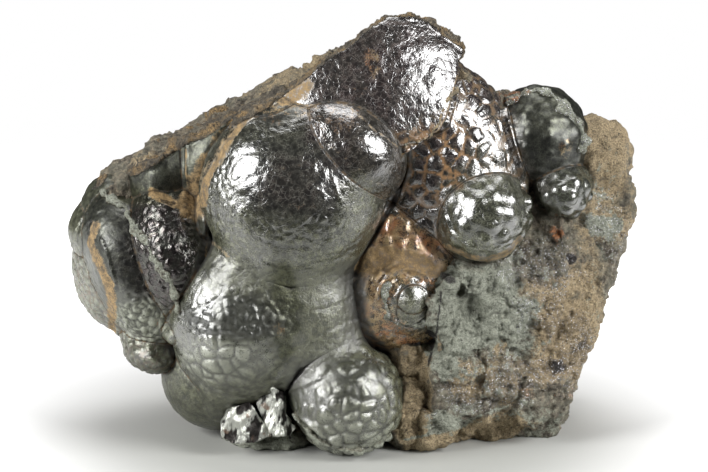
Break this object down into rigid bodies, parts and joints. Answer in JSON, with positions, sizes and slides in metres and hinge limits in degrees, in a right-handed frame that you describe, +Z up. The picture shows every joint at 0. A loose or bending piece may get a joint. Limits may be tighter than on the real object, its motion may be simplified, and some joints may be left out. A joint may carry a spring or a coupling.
{
  "type": "mineral specimen",
  "caption": "Botryoidal hematite: glossy rounded kidneys crowded over rough iron-stained matrix, resting on a broken flat underside.",
  "frame": {"origin": "the middle of the flat underside on which the piece rests", "axes": "+X to the right along the longest side as the kidneys are looked at, -Y towards the viewer on the kidneys' side, +Z up"},
  "size_m": [0.0994, 0.0556, 0.0746],
  "materials": {
    "hematite": "gloss"
  },
  "bodies": {
    "root": {"hematite": "hematite"}
  },
  "joints": []
}
